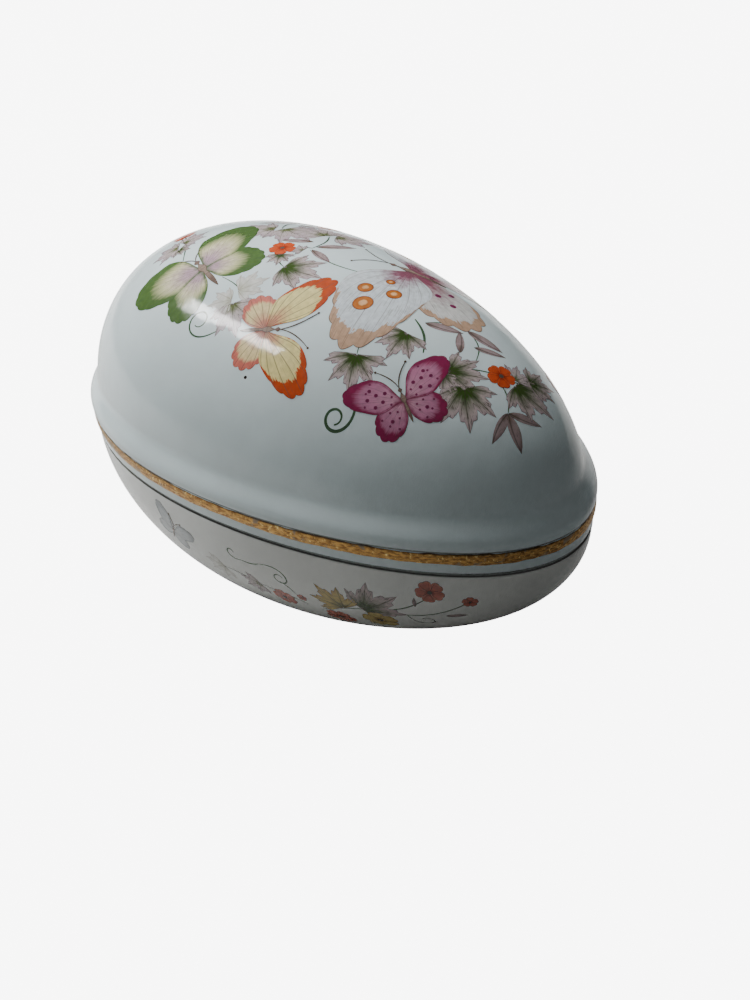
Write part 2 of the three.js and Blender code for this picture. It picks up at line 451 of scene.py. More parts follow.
base_rings = np.concatenate(
    [
        egg_rings(
            bowl,
            np.linspace(89.4, 0, 70),
            lambda rise: bowl_push * (1 - smooth(rise / THICKENING)),
            lambda rise: SEAM - bowl_depth(rise),
        ),
        rim_rings(base_rim),
        egg_rings(
            base_egg,
            np.linspace(0.03, 0.992, 70)[:, None] * foot_tilt,
            lambda rise: 0 * rise,
            lambda rise: SEAM - rise,
        ),
    ]
    + [foot_ring(inset, level) for inset, level in foot_profile]
)
base = shell(
    "base_porcelain_bowl",
    base_rings,
    (bowl.crown, 0, SEAM - bowl_depth(bowl.height)),
    (base_egg.crown, 0, FOOT.recess),
    base_porcelain(),
)
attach(base, "base")
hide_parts("base")

# ---------------------------------------------------------------- gilding
# The gilding: bright gold brushed round the lid's band by hand and fired on. Its two edges wander, and
# it is mottled, rubbed down to its brown size and in places to the porcelain.
GILT_LIFT = 0.05
GILT_BACK = 0.3
EDGE_WANDER = 0.16
GILT_STEPS = 720
RIM_LENGTH = 360.0
STROKES = (0.7, 2.2)  # how closely the brush strokes lie, along the rim and up the band


def wander(angle, seed):
    """A slow random wave round the rim, between -1 and 1: sines of rising frequency."""
    dice = np.random.default_rng(seed)
    counts = np.array([9, 17, 31, 57, 83])
    phases = dice.uniform(0, 2 * math.pi, len(counts))
    return (np.sin(angle[:, None] * counts + phases) * (1, 0.8, 0.7, 0.6, 0.5)).sum(-1) / 2.2


def worn_gold():
    """Fired gold: yellow flecks on orange brown along the brush strokes, worn in patches, with painted shade
    along its top edge.
    """
    material, tree, shader = new_material("worn_gold")
    round_rim = add_node(tree, "UVMap", uv_map="brushed").outputs[0]
    place = on_object(tree)
    strokes = noise(tree, round_rim, 1.0, 4.0, 0.65)
    blotch = noise(tree, place, 420.0, 3.0)
    flecks = noise(tree, place, 1500.0, 2.0)
    gold = mixed(tree, ease(tree, strokes, 0.36, 0.62), (0.24, 0.115, 0.038, 1), (0.54, 0.32, 0.105, 1))
    bright = mixed(tree, ease(tree, flecks, 0.58, 0.74), gold, (0.80, 0.60, 0.25, 1))
    worn = ease(tree, blotch, 0.60, 0.68)
    size = mixed(tree, worn, bright, (0.30, 0.21, 0.12, 1))
    # Painted shade along the gilding's top edge, where the shoulder overhangs it.
    shaded = painted_crevice_shade(tree, size, SEAM + BAND.top - 0.1, 0.45, 0.3)
    tree.links.new(shaded, shader.inputs["Base Color"])
    tree.links.new(ease(tree, blotch, 0.57, 0.68, 0.95, 0.1), shader.inputs["Metallic"])
    tree.links.new(ease(tree, strokes, 0.3, 0.7, 0.48, 0.34), shader.inputs["Roughness"])
    height = sums(tree, "MULTIPLY", sums(tree, "ADD", strokes, flecks), 4e-5)
    bump = add_node(tree, "Bump", {"Height": height, "Distance": 1.0})
    tree.links.new(bump.outputs[0], shader.inputs["Normal"])
    return material


gilt_angle = np.arange(GILT_STEPS) * 2 * math.pi / GILT_STEPS
gilt_top = BAND.top - 0.12 + EDGE_WANDER * wander(gilt_angle, 5)
gilt_bottom = BAND.bottom + 0.05 + EDGE_WANDER * wander(gilt_angle, 8)
share_up = np.linspace(0, 1, 9)[:, None]
face_up = gilt_top + (gilt_bottom - gilt_top) * share_up
face_out = band_out(face_up) + GILT_LIFT * np.minimum(1, 8 * share_up * (1 - share_up) + 0.15)
back_up = np.stack([gilt_bottom, gilt_top])
edge, out = outline(lid_egg, gilt_angle)
gilt_up = np.concatenate([face_up, back_up])
gilt_out = np.concatenate([face_out, band_out(back_up) - GILT_BACK])
gilt_points = np.concatenate([edge + gilt_out[..., None] * out, (SEAM + gilt_up)[..., None]], -1)
here = np.arange(gilt_up.size).reshape(gilt_up.shape)
down, after = np.roll(here, -1, axis=0), np.roll(here, -1, axis=1)
corner = np.roll(down, -1, axis=1)
gilt_faces = np.stack([here, down, corner, after], -1).reshape(-1, 4).tolist()
gilding = new_object("gilt_band", gilt_points.reshape(-1, 3), gilt_faces, [worn_gold()])
round_rim = gilt_angle / (2 * math.pi) * RIM_LENGTH + 0 * gilt_up
stroke = (np.stack([round_rim, gilt_up], -1) * STROKES).reshape(-1, 2)
layer = gilding.data.uv_layers.new(name="brushed")
corners = np.empty(len(gilding.data.loops), int)
gilding.data.loops.foreach_get("vertex_index", corners)
layer.data.foreach_set("uv", stroke[corners].ravel())
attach(gilding, "lid")

# ---------------------------------------------------------------- green butterfly
# The prints: enamel transfers fired onto the glaze, standing a few hundredths of a millimetre proud. This
# one is a butterfly on the lid's blunt end, with leaf green wing tips round lilac and cream.
PRINT_BACK = 0.15  # a transfer's back is sunk this deep, so that no edge of it lifts
ROOT_SHARE = 0.03  # a fan starts this far out from its root, because a point has no width
NO_VEIN = 9.0  # a distance from a vein that is far enough to draw none
FAN_ROWS = 18
LOBE_COLUMNS = 12
HIND_LIFT, FORE_LIFT = 0.04, 0.052  # how far each part of a butterfly stands proud
FEELER_LIFT, CLUB_LIFT, BODY_LIFT = 0.065, 0.07, 0.085


def depth(shape, points):
    """Below 0 inside the half egg and above 0 outside it: the section's ellipse equation at each point."""
    x, y, z = points[..., 0], points[..., 1], points[..., 2]
    return ((z - shape.level) / ridge(shape, x)) ** 2 + (y / half_width(shape, x)) ** 2 - 1


def face_normals(shape, points):
    """Unit vectors square to the half egg: the slope of its depth along X, Y and Z."""
    step = 0.001
    slopes = [depth(shape, points + side) - depth(shape, points - side) for side in np.eye(3) * step]
    slopes = np.stack(slopes, -1)
    return slopes / np.linalg.norm(slopes, axis=-1, keepdims=True)


def site(shape, x, around, turn):
    """Where a motif is laid: a point x along the egg and around degrees from its ridge line towards -Y,
    with the motif's own right and up across the tangent plane there, turned anticlockwise by turn."""
    swing, turn = math.radians(around), math.radians(turn)

    def over(x):
        side, rise = -half_width(shape, x) * math.sin(swing), ridge(shape, x) * math.cos(swing)
        return np.array([x, side, shape.level + shape.up * rise])

    along = over(x + 0.01) - over(x - 0.01)
    along /= np.linalg.norm(along)
    normal = face_normals(shape, over(x))
    across = np.cross(normal, along)
    right = along * math.cos(turn) + across * math.sin(turn)
    up = across * math.cos(turn) - along * math.sin(turn)
    return SimpleNamespace(shape=shape, point=over(x), right=right, up=up, normal=normal)


def settled(place, u, v):
    """Points (u, v) of a motif's plane, dropped square to it until they meet the egg: found by halving."""
    plane = place.point + u[..., None] * place.right + v[..., None] * place.up
    high, low = np.full(u.shape, -0.5), np.full(u.shape, 18.0)
    for _ in range(36):
        drop = (high + low) / 2
        inside = depth(place.shape, plane - drop[..., None] * place.normal) < 0
        high, low = np.where(inside, high, drop), np.where(inside, drop, low)
    points = plane - low[..., None] * place.normal
    return points, face_normals(place.shape, points)


def tile(place, u, v, lift, material, vein=None):
    """One closed patch of print. (u, v) is a grid whose rows run from its root to its margin and whose
    columns run across it. vein is each point's distance from a vein. The front stands lift proud."""
    rows, columns = u.shape
    share, reach = np.meshgrid(np.linspace(0, 1, columns), np.linspace(0, 1, rows))
    vein = np.full(u.shape, NO_VEIN) if vein is None else vein
    # The cross product of each cell's two diagonals says which way round the grid runs.
    right, up = u[1:, 1:] - u[:-1, :-1], v[1:, 1:] - v[:-1, :-1]
    turning = np.sum(right * (v[:-1, 1:] - v[1:, :-1]) - up * (u[:-1, 1:] - u[1:, :-1]))
    if turning > 0:
        u, v, share, vein = (grid[:, ::-1] for grid in (u, v, share, vein))
    points, normals = settled(place, u, v)
    here = np.arange(rows * columns).reshape(rows, columns)
    ring = np.concatenate([here[0, :-1], here[:-1, -1], here[-1, :0:-1], here[:0:-1, 0]])
    edge = points.reshape(-1, 3)[ring]
    from_edge = np.sqrt(((points.reshape(-1, 1, 3) - edge) ** 2).sum(-1).min(-1))
    front = np.stack([here[:-1, :-1], here[:-1, 1:], here[1:, 1:], here[1:, :-1]], -1).reshape(-1, 4)
    behind = rows * columns
    after = np.roll(ring, -1)
    wall = np.stack([ring + behind, after + behind, after, ring], -1)
    return SimpleNamespace(
        points=np.concatenate([points + lift * normals, points - PRINT_BACK * normals]).reshape(-1, 3),
        faces=np.concatenate([front, front[:, ::-1] + behind, wall]),
        across=np.tile(np.stack([share, reach], -1).reshape(-1, 2), (2, 1)),
        ink=np.tile(np.stack([from_edge, vein.ravel()], -1), (2, 1)),
        material=material,
    )


def printed(name, body, tiles):
    """One printed motif: all its tiles in one mesh, with the map "across" (across and out from the root)
    and the map "ink" (millimetres from the edge and from a vein)."""
    materials = list(dict.fromkeys(part.material for part in tiles))
    starts = np.cumsum([0] + [len(part.points) for part in tiles])
    faces = np.concatenate([part.faces + start for part, start in zip(tiles, starts)])
    piece = new_object(name, np.concatenate([part.points for part in tiles]), faces.tolist(), materials, 30)
    corners = faces.ravel()
    for label in ("across", "ink"):
        values = np.concatenate([getattr(part, label) for part in tiles])
        piece.data.uv_layers.new(name=label).data.foreach_set("uv", values[corners].ravel())
    slots = np.concatenate([np.full(len(part.faces), materials.index(part.material)) for part in tiles])
    piece.data.polygons.foreach_set("material_index", slots.astype(np.int32))
    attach(piece, body)
    return piece


def fan(
    place, lead, trail, lengths, lift, material,
    root=(0, 0), lobes=5, notch=0.05, sharp=2.0, teeth=0.0, bow=0.0, curl=0.0,
):
    """A wing, leaf or petal: a fan from its root, between two angles. Its reach follows a smooth curve
    through lengths and dips by notch between its lobes, which are pointed where sharp is below 1, with
    three small teeth to a lobe. bow swells its sides, and curl turns it further as it goes out. A vein
    runs up each lobe."""
    columns = lobes * LOBE_COLUMNS + 1
    share = np.linspace(0, 1, columns)
    out = np.linspace(ROOT_SHARE, 1, FAN_ROWS)[:, None]
    stations = np.linspace(0, 1, len(lengths))
    reach = np.polyval(np.polyfit(stations, lengths, len(lengths) - 1), share)
    valley = np.abs(2 * np.mod(share * lobes, 1) - 1)
    valley[[0, -1]] = 1
    saw = np.abs(2 * np.mod(share * lobes * 3, 1) - 1)
    reach = reach * (1 - notch * valley**sharp) * (1 - teeth * saw)
    swell = bow * (share - 0.5) * np.sin(math.pi * out)
    angle = np.radians(lead + (trail - lead) * (share + swell) + curl * out)
    nearest = (np.floor(share * lobes * 0.99999) + 0.5) / lobes
    vein = out * reach * np.radians(abs(trail - lead)) * np.abs(share - nearest)
    u, v = root[0] + out * reach * np.cos(angle), root[1] + out * reach * np.sin(angle)
    return tile(place, u, v, lift, material, vein)


def dot(place, u, v, radius, lift, material):
    """A round spot: a square grid bent into a disc, each side pulled in as the other grows."""
    side = np.linspace(-1, 1, 9)
    a, b = np.meshgrid(side, side)
    across = radius * a * np.sqrt(1 - b * b / 2)
    along = radius * b * np.sqrt(1 - a * a / 2)
    return tile(place, u + across, v + along, lift, material)


def line(place, path, width, lift, material):
    """A pen stroke along a path: as wide as width halfway, and half that at its two ends."""
    step = np.gradient(path, axis=0)
    side = np.stack([-step[:, 1], step[:, 0]], -1) / np.linalg.norm(step, axis=1, keepdims=True)
    half = width / 2 * (0.5 + 0.5 * np.sin(math.pi * np.linspace(0, 1, len(path))))
    offsets = np.array([-1, 0, 1]) * half[:, None]
    grid = path[:, None] + offsets[..., None] * side[:, None]
    return tile(place, grid[..., 0], grid[..., 1], lift, material)


def ramp(tree, value, low, high):
    """A straight ramp from 0 where the value is low to 1 where it is high."""
    return add_node(tree, "MapRange", {"Value": value, "From Min": low, "From Max": high}).outputs[0]


def drawn_out(tree, share, reach, finely, coarsely, detail):
    """A noise drawn out from the root to the margin: it changes finely across and coarsely outwards."""
    across, outwards = sums(tree, "MULTIPLY", share, finely), sums(tree, "MULTIPLY", reach, coarsely)
    return noise(tree, add_node(tree, "CombineXYZ", {0: across, 1: outwards}).outputs[0], 1.0, detail)


def transfer_print():
    """A transfer's colour: root, field and margin run into each other along the map "across", mottled by
    the brush. The margin also creeps in from the edge. Fine hairs, veins and the outline are in ink."""
    inputs = {"Root": "colour", "Field": "colour", "Margin": "colour", "Ink": "colour"}
    numbers = ("Root Reach", "Margin Start", "Margin Blend", "Edge Wash", "Etching")
    inputs |= dict.fromkeys((*numbers, "Vein Width", "Outline Width"), "number")
    tree, given, output = new_group("transfer_print", inputs, {"Colour": "colour"})
    across, ink = (add_node(tree, "UVMap", uv_map=label).outputs[0] for label in ("across", "ink"))
    share, reach, _ = add_node(tree, "SeparateXYZ", {0: across}).outputs
    edge, vein, _ = add_node(tree, "SeparateXYZ", {0: ink}).outputs
    place = on_object(tree)
    streak = drawn_out(tree, share, reach, 46.0, 2.5, 2.0)
    mottle = noise(tree, place, 900.0, 3.0)
    stray = sums(tree, "SUBTRACT", sums(tree, "ADD", streak, mottle), 1.0)
    out = sums(tree, "ADD", reach, sums(tree, "MULTIPLY", stray, 0.22))
    begin = sums(tree, "MULTIPLY", given["Root Reach"], 0.35)
    opened = ramp(tree, out, begin, given["Root Reach"])
    inner = mixed(tree, opened, given["Root"], given["Field"])
    border = sums(tree, "ADD", reach, sums(tree, "MULTIPLY", stray, 0.13))
    full = sums(tree, "ADD", given["Margin Start"], given["Margin Blend"])
    by_reach = ramp(tree, border, given["Margin Start"], full)
    creep = sums(tree, "ADD", edge, sums(tree, "MULTIPLY", stray, 0.9))
    by_edge = ramp(tree, creep, given["Edge Wash"], 0.0)
    washed = mixed(tree, sums(tree, "MAXIMUM", by_reach, by_edge), inner, given["Margin"])
    tone = ease(tree, mottle, 0.3, 0.75, 0.86, 1.06)
    brushed = dimmed(tree, washed, tone)
    hair = drawn_out(tree, share, reach, 110.0, 5.0, 1.0)
    etched = sums(tree, "MULTIPLY", ease(tree, hair, 0.56, 0.66), given["Etching"])
    drawn = mixed(tree, etched, brushed, given["Ink"])
    pen = sums(tree, "ADD", 0.75, sums(tree, "MULTIPLY", mottle, 0.5))
    for gap, width, tip, strength in ((vein, "Vein Width", 0.4, 0.6), (edge, "Outline Width", 0.5, 0.85)):
        thin = sums(tree, "DIVIDE", gap, pen)
        fade = sums(tree, "MULTIPLY", given[width], tip)
        stroke = ramp(tree, thin, given[width], fade)
        drawn = mixed(tree, sums(tree, "MULTIPLY", stroke, strength), drawn, given["Ink"])
    feed(tree, output, Colour=drawn)
    return tree


PRINT = transfer_print()


def enamel(
    name, root, field, margin, ink,
    root_reach=0.5, margin_start=0.8, blend=0.16, edge_wash=0.2,
    vein=0.10, outline_width=0.14, etching=0.3,
):
    """A printed enamel: the transfer's colours under the glaze's own gloss."""
    material, tree, shader = new_material(name)
    sockets = {"Root": root, "Field": field, "Margin": margin, "Ink": ink}
    sockets = {label: (*colour, 1) for label, colour in sockets.items()}
    sockets |= {"Root Reach": root_reach, "Margin Start": margin_start, "Margin Blend": blend}
    sockets |= {"Edge Wash": edge_wash, "Etching": etching}
    sockets |= {"Vein Width": vein, "Outline Width": outline_width}
    colour = add_node(tree, "Group", sockets, node_tree=PRINT).outputs[0]
    glazed(tree, shader, colour)
    return material


BROWN_INK = (0.10, 0.075, 0.06)
PLUM_INK = (0.11, 0.045, 0.06)
GREEN_INK = (0.055, 0.10, 0.055)
body_brown = enamel(
    "body_brown", (0.15, 0.10, 0.08), (0.27, 0.20, 0.16), (0.18, 0.12, 0.10), BROWN_INK, vein=0.14
)
pen_brown = enamel("pen_brown", BROWN_INK, BROWN_INK, BROWN_INK, BROWN_INK)
pen_green = enamel("pen_green", GREEN_INK, GREEN_INK, GREEN_INK, GREEN_INK)


def insect_body(place, length, width, material):
    """A butterfly's body: a bar with a long abdomen, a thicker chest and a small round head."""
    along = np.linspace(0, 1, 41)[:, None]
    side = np.linspace(-1, 1, 7)
    abdomen = 0.62 * np.sin(math.pi * np.clip(along / 0.66, 0, 1)) ** 0.7
    chest = 1.0 * np.exp(-(((along - 0.68) / 0.13) ** 2))
    head = 0.75 * np.exp(-(((along - 0.93) / 0.05) ** 2))
    half = width / 2 * np.maximum(np.maximum(abdomen, chest), np.maximum(head, 0.08))
    u = length * (along - 0.62) + 0 * side
    bars = np.abs(np.mod(u, 0.9) - 0.45)
    return tile(place, u, half * side, BODY_LIFT, material, bars)


def antenna(place, start, reach, spread, material):
    """One feeler: it runs forward and bends away to its side as the square of how far it has gone."""
    go = np.linspace(0, 1, 24)
    path = np.stack([start + reach * go, spread * (0.25 * go + 0.75 * go * go)], -1)
    club = dot(place, path[-1, 0], path[-1, 1], 0.24, CLUB_LIFT, material)
    return [line(place, path, 0.24, FEELER_LIFT, material), club]


FORE_SHAPE = np.array([0.7, 0.9, 1.0, 0.8, 0.55])  # a forewing's reach from its front edge to its back
HIND_SHAPE = np.array([0.7, 0.9, 1.0, 0.9, 0.6])


def butterfly(name, body, place, length, fore, hind, colours, feeler=4.0):
    """A butterfly facing the motif's right: four fans for wings, a body over them, and two feelers. fore
    and hind give a wing's lead and trail angles, its reach and what else its fan takes. All the
    butterflies share the same two wing shapes."""
    hind_wing = (hind, HIND_SHAPE, colours[1], HIND_LIFT)
    fore_wing = (fore, FORE_SHAPE, colours[0], FORE_LIFT)
    parts = []
    for side in (1, -1):
        for wing, shape, colour, lift in (hind_wing, fore_wing):
            lead, trail, reach = side * wing["lead"], side * wing["trail"], wing["reach"]
            extra = {key: value for key, value in wing.items() if key not in ("lead", "trail", "reach")}
            parts.append(fan(place, lead, trail, reach * shape, lift, colour, **extra))
        parts += antenna(place, 0.36 * length, feeler, side * feeler * 0.6, pen_brown)
    parts.append(insect_body(place, length, length * 0.15, body_brown))
    return printed(name, body, parts)


green_wing = enamel(
    "green_wing", (0.44, 0.31, 0.36), (0.66, 0.64, 0.36), (0.07, 0.13, 0.035), GREEN_INK,
    root_reach=0.62, margin_start=0.50, blend=0.26, edge_wash=1.1, vein=0.05, etching=0.5,
)


def green_butterfly(name, body, place):
    """The green butterfly, the plumpest of the four, with nearly smooth wing edges."""
    butterfly(
        name, body, place, 13.2,
        dict(lead=20, trail=90, reach=19, bow=0.25, lobes=7, notch=0.02),
        dict(lead=90, trail=160, reach=14, bow=0.2, lobes=7, notch=0.03),
        (green_wing, green_wing),
    )


green_butterfly("lid_butterfly_green", "lid", site(lid_egg, -18, 24, 165))

# ---------------------------------------------------------------- orange butterfly
# On the lid's near side: narrow yellow wings, salmon by the body, with torn-looking orange red borders.
orange_wing = enamel(
    "orange_wing", (0.56, 0.27, 0.16), (0.72, 0.62, 0.27), (0.48, 0.07, 0.018), BROWN_INK,
    root_reach=0.40, margin_start=0.76, blend=0.03, edge_wash=0.22, outline_width=0.08, etching=0.25,
)
salmon_wing = enamel(
    "salmon_wing", (0.56, 0.25, 0.17), (0.72, 0.58, 0.30), (0.56, 0.16, 0.12), BROWN_INK,
    root_reach=0.55, margin_start=0.74, blend=0.10, edge_wash=0.7, outline_width=0.06,
)


def orange_butterfly(name, body, place):
    """The orange butterfly, with long pointed forewings."""
    butterfly(
        name, body, place, 9.3,
        dict(lead=30, trail=80, reach=17.5, bow=0.45, lobes=6, notch=0.04),
        dict(lead=80, trail=160, reach=9.5, bow=0.2, lobes=6, notch=0.06),
        (orange_wing, salmon_wing), feeler=7.0,
    )


orange_butterfly("lid_butterfly_orange", "lid", site(lid_egg, 9, 34, 25))

# ---------------------------------------------------------------- magenta butterfly
# Towards the narrow end: pink wings with crimson borders and a scatter of dark spots.
magenta_wing = enamel(
    "magenta_wing", (0.50, 0.25, 0.34), (0.46, 0.19, 0.30), (0.22, 0.018, 0.07), PLUM_INK,
    root_reach=0.6, margin_start=0.70, blend=0.14, edge_wash=0.8, vein=0.03, etching=0.25,
)
plum_spot = enamel(
    "plum_spot", (0.16, 0.02, 0.07), (0.16, 0.02, 0.07), (0.20, 0.03, 0.10), PLUM_INK, outline_width=0.02
)


def wing_spots(place, rows, radius, lift, material):
    """Rows of spots on both wings: each row has a distance out and the angles that its spots stand at."""
    return [
        dot(place, reach * math.cos(angle), side * reach * math.sin(angle), radius, lift, material)
        for side in (1, -1)
        for reach, angles in rows
        for angle in np.radians(angles)
    ]


def magenta_butterfly(name, body, place):
    """The magenta butterfly, with its spots printed over its wings."""
    butterfly(
        name, body, place, 7.4,
        dict(lead=35, trail=90, reach=12, bow=0.4, lobes=6, notch=0.02),
        dict(lead=95, trail=165, reach=8.5, bow=0.25, lobes=5, notch=0.05),
        (magenta_wing, magenta_wing), feeler=5.0,
    )
    small = ((2.5, (50, 85, 130)), (3.5, (110, 145)), (5.5, (110, 130, 150)), (7.5, (40, 55, 75)))
    large = ((4, (45, 70)), (5.5, (55, 80)), (7, (50, 65)), (4.5, (130,)))
    spots = wing_spots(place, small, 0.22, 0.068, plum_spot)
    spots += wing_spots(place, large, 0.36, 0.07, plum_spot)
    printed(name + "_spots", body, spots)


magenta_butterfly("lid_butterfly_magenta", "lid", site(lid_egg, 42, 33, 145))

# ---------------------------------------------------------------- pale butterfly
# The largest, astride the ridge: pale blue wings with purple roots, a torn-looking peach border, and
# orange eyes.
pale_wing = enamel(
    "pale_wing", (0.24, 0.075, 0.12), (0.60, 0.65, 0.68), (0.47, 0.31, 0.21), BROWN_INK,
    root_reach=0.40, margin_start=0.865, blend=0.012, edge_wash=0.22,
    vein=0.05, outline_width=0.13, etching=0.35,
)
lilac_wing = enamel(
    "lilac_wing", (0.24, 0.07, 0.11), (0.60, 0.60, 0.58), (0.47, 0.31, 0.21), BROWN_INK,
    root_reach=0.66, margin_start=0.865, blend=0.012, edge_wash=0.22,
    vein=0.05, outline_width=0.13, etching=0.35,
)
pale_site = site(lid_egg, 16, -20, 210)
butterfly(
    "lid_butterfly_pale", "lid", pale_site, 13.0,
    dict(lead=60, trail=120, reach=28, bow=0.6, lobes=8, notch=0.035, sharp=1.6),
    dict(lead=115, trail=170, reach=24, bow=0.2, lobes=6, notch=0.05, sharp=1.6),
    (pale_wing, lilac_wing), feeler=7.0,
)
eye_orange = enamel(
    "eye_orange", (0.48, 0.15, 0.03), (0.48, 0.15, 0.03), (0.30, 0.07, 0.015), BROWN_INK,
    margin_start=2.0, edge_wash=0.5, outline_width=0.18,
)
eye_gold = enamel(
    "eye_gold", (0.74, 0.42, 0.20), (0.74, 0.42, 0.20), (0.56, 0.24, 0.07), BROWN_INK,
    margin_start=2.0, edge_wash=0.35, outline_width=0.02,
)
EYE_ROW = ((18, 80, 2.0), (14, 70, 1.6), (13, 95, 1.6), (9, 82, 1.0))  # reach, angle and radius of each
eye_dots = []
for reach, angle, radius in EYE_ROW:
    rings = ((reach, (angle,)),)
    eye_dots += wing_spots(pale_site, rings, radius, 0.068, eye_orange)
    eye_dots += wing_spots(pale_site, rings, 0.45 * radius, 0.082, eye_gold)
hind_eyes = wing_spots(pale_site, ((11, (140, 160)), (15, (145,))), 0.7, 0.06, plum_spot)
printed("lid_butterfly_pale_eyes", "lid", eye_dots + hind_eyes)

# ---------------------------------------------------------------- sprays on the lid
# Trailing stems between the butterflies, with ivy leaves that go from green at the stalk to mauve at
# their points, slender leaves, small orange red blossoms, and wiry tendrils.
LEAF_INK = (0.055, 0.045, 0.035)
ivy_green = enamel(
    "ivy_green", (0.035, 0.075, 0.01), (0.44, 0.37, 0.36), (0.42, 0.33, 0.36), LEAF_INK,
    root_reach=0.84, margin_start=0.85, blend=0.2, edge_wash=0.25,
    vein=0.13, outline_width=0.17, etching=0.8,
)
ivy_mauve = enamel(
    "ivy_mauve", (0.12, 0.15, 0.05), (0.46, 0.40, 0.39), (0.42, 0.34, 0.37), LEAF_INK,
    root_reach=0.45, margin_start=0.7, blend=0.2, edge_wash=0.3, vein=0.12, outline_width=0.16, etching=0.7,
)
ivy_faint = enamel(
    "ivy_faint", (0.46, 0.46, 0.38), (0.60, 0.60, 0.56), (0.58, 0.57, 0.54), (0.24, 0.22, 0.18),
    root_reach=0.6, vein=0.10, outline_width=0.13, etching=0.4,
)
slender_plum = enamel(
    "slender_plum", (0.17, 0.12, 0.10), (0.34, 0.26, 0.26), (0.24, 0.17, 0.17), LEAF_INK,
    root_reach=0.5, edge_wash=0.3, vein=0.14, outline_width=0.12, etching=0.5,
)
blossom_red = enamel(
    "blossom_red", (0.26, 0.02, 0.006), (0.54, 0.075, 0.02), (0.58, 0.12, 0.04), (0.17, 0.02, 0.01),
    root_reach=0.45, margin_start=0.85, vein=0.05, outline_width=0.13, etching=0.25,
)


def ivy(place, x, y, turn, length, material, side=0.75, lift=0.026):
    """An ivy leaf: a fan of five pointed, toothed lobes, with the outer ones side times as long."""
    lengths = length * np.array([side, 0.84, 1, 0.84, side])
    return fan(
        place, turn - 92, turn + 92, lengths, lift, material,
        root=(x, y), lobes=5, notch=0.34, sharp=0.95, teeth=0.12, curl=6,
    )


def slender(place, x, y, turn, length, material, lift=0.02, curl=14):
    """A slender leaf: a narrow fan with a single long point."""
    return fan(
        place, turn - 27, turn + 27, (length, length, length), lift, material,
        root=(x, y), lobes=1, notch=0.82, sharp=0.9, bow=0.25, curl=curl,
    )


def blossom(place, x, y, radius, turn, material, lift=0.03):
    """A small open flower: five round petals in a ring, with a dark eye."""
    lengths = radius * np.array([0.6, 0.95, 1, 0.95, 0.6])
    petals = [
        fan(
            place, turn + 72 * petal - 42, turn + 72 * petal + 42, lengths, lift + 0.008 * petal, material,
            root=(x, y), lobes=2, notch=0.07, bow=0.15,
        )
        for petal in range(5)
    ]
    return [*petals, dot(place, x, y, 0.16 * radius, lift + 0.045, pen_brown)]


def stem(place, start, end, bend=0.1, width=0.32):
    """A stem: a pen line from start to end that bows to its left, as half a sine wave, by bend of its
    length."""
    go = np.linspace(0, 1, 36)[:, None]
    run = np.subtract(end, start)
    left = np.array([-run[1], run[0]])
    return line(place, start + go * run + bend * np.sin(math.pi * go) * left, width, 0.014, pen_green)


def tendril(place, start, turn, length, wind, width=0.4):
    """A tendril: it sets out at the angle turn and winds round by wind degrees in all, ever tighter: its
    heading changes as the square of the way gone."""
    go = np.linspace(0, 1, 90)
    heading = np.radians(turn + wind * go**2)
    steps = length / len(go) * np.stack([np.cos(heading), np.sin(heading)], -1)
    return line(place, start + np.cumsum(steps, axis=0), width, 0.014, pen_green)


def middle_spray(name, body, place):
    """Ivy under the pale butterfly, with a tendril that curls out below it."""
    printed(name, body, [
        ivy(place, -3, -1, -70, 8.5, ivy_green, side=0.95),
        ivy(place, 1.5, 8.5, -90, 7.5, ivy_green, side=0.85),
        slender(place, 2, 13, 10, 7.5, slender_plum),
        slender(place, 8.5, 17.5, -10, 8, slender_plum),
        slender(place, 12.5, 14.5, 15, 6, slender_plum),
        stem(place, (0, 12.5), (7, 6.5), 0.1, 0.5),
        stem(place, (-3, 2.5), (-3, -1), -0.2, 0.24),
        stem(place, (2, 13), (8.5, 17.5), 0.1, 0.24),
        stem(place, (8.5, 17.5), (15.5, 11), 0.15, 0.24),
        tendril(place, (1.5, -7), -50, 20, -460, 0.6),
    ])


middle_spray("lid_spray_middle", "lid", site(lid_egg, 32, 25, 0))


def crown_spray(name, body, place):
    """The spray along the ridge: a blossom, a dark ivy leaf, and slender leaves on an arching stem."""
    printed(name, body, [
        *blossom(place, -7, 0, 3, 20, blossom_red),
        ivy(place, -5, -2, -60, 4.5, ivy_green, side=0.9),
        ivy(place, -0.5, -5, 5, 10, ivy_green, side=0.5),
        ivy(place, -2.5, 2, 190, 3.5, ivy_mauve),
        slender(place, -4.5, 6.5, 200, 7.5, slender_plum),
        slender(place, -1.5, 3.5, -25, 7.5, slender_plum),
        slender(place, -2, 5, 40, 8.5, slender_plum),
        ivy(place, -6.5, 11.5, 170, 10.5, ivy_mauve, side=0.5),
        ivy(place, -5, 13, 40, 9, ivy_mauve, side=0.6),
        stem(place, (-6, 12), (-2, 4), 0.12, 0.4),
        stem(place, (-2, 4), (-4.5, 1), -0.15, 0.4),
        stem(place, (-1.5, 3), (14, 4.5), -0.1),
        stem(place, (-5, -2.5), (-0.5, -5), -0.1),
    ])


crown_spray("lid_spray_crown", "lid", site(lid_egg, 0, 4, 0))


def blunt_spray(name, body, place):
    """The spray over the blunt end: three ivy leaves on a short stem, and a blossom."""
    printed(name, body, [
        ivy(place, 1, -2, 230, 7, ivy_mauve, side=0.7),
        ivy(place, 1, -0.5, 75, 6.5, ivy_mauve, side=0.7),
        ivy(place, 2.5, -3, 10, 4, ivy_green, side=0.8),
        *blossom(place, -5.5, 3.5, 3, 10, blossom_red),
        stem(place, (9, -6), (-5.5, 3.5), -0.05, 0.4),
    ])


blunt_spray("lid_spray_blunt", "lid", site(lid_egg, -36, 14, 0))


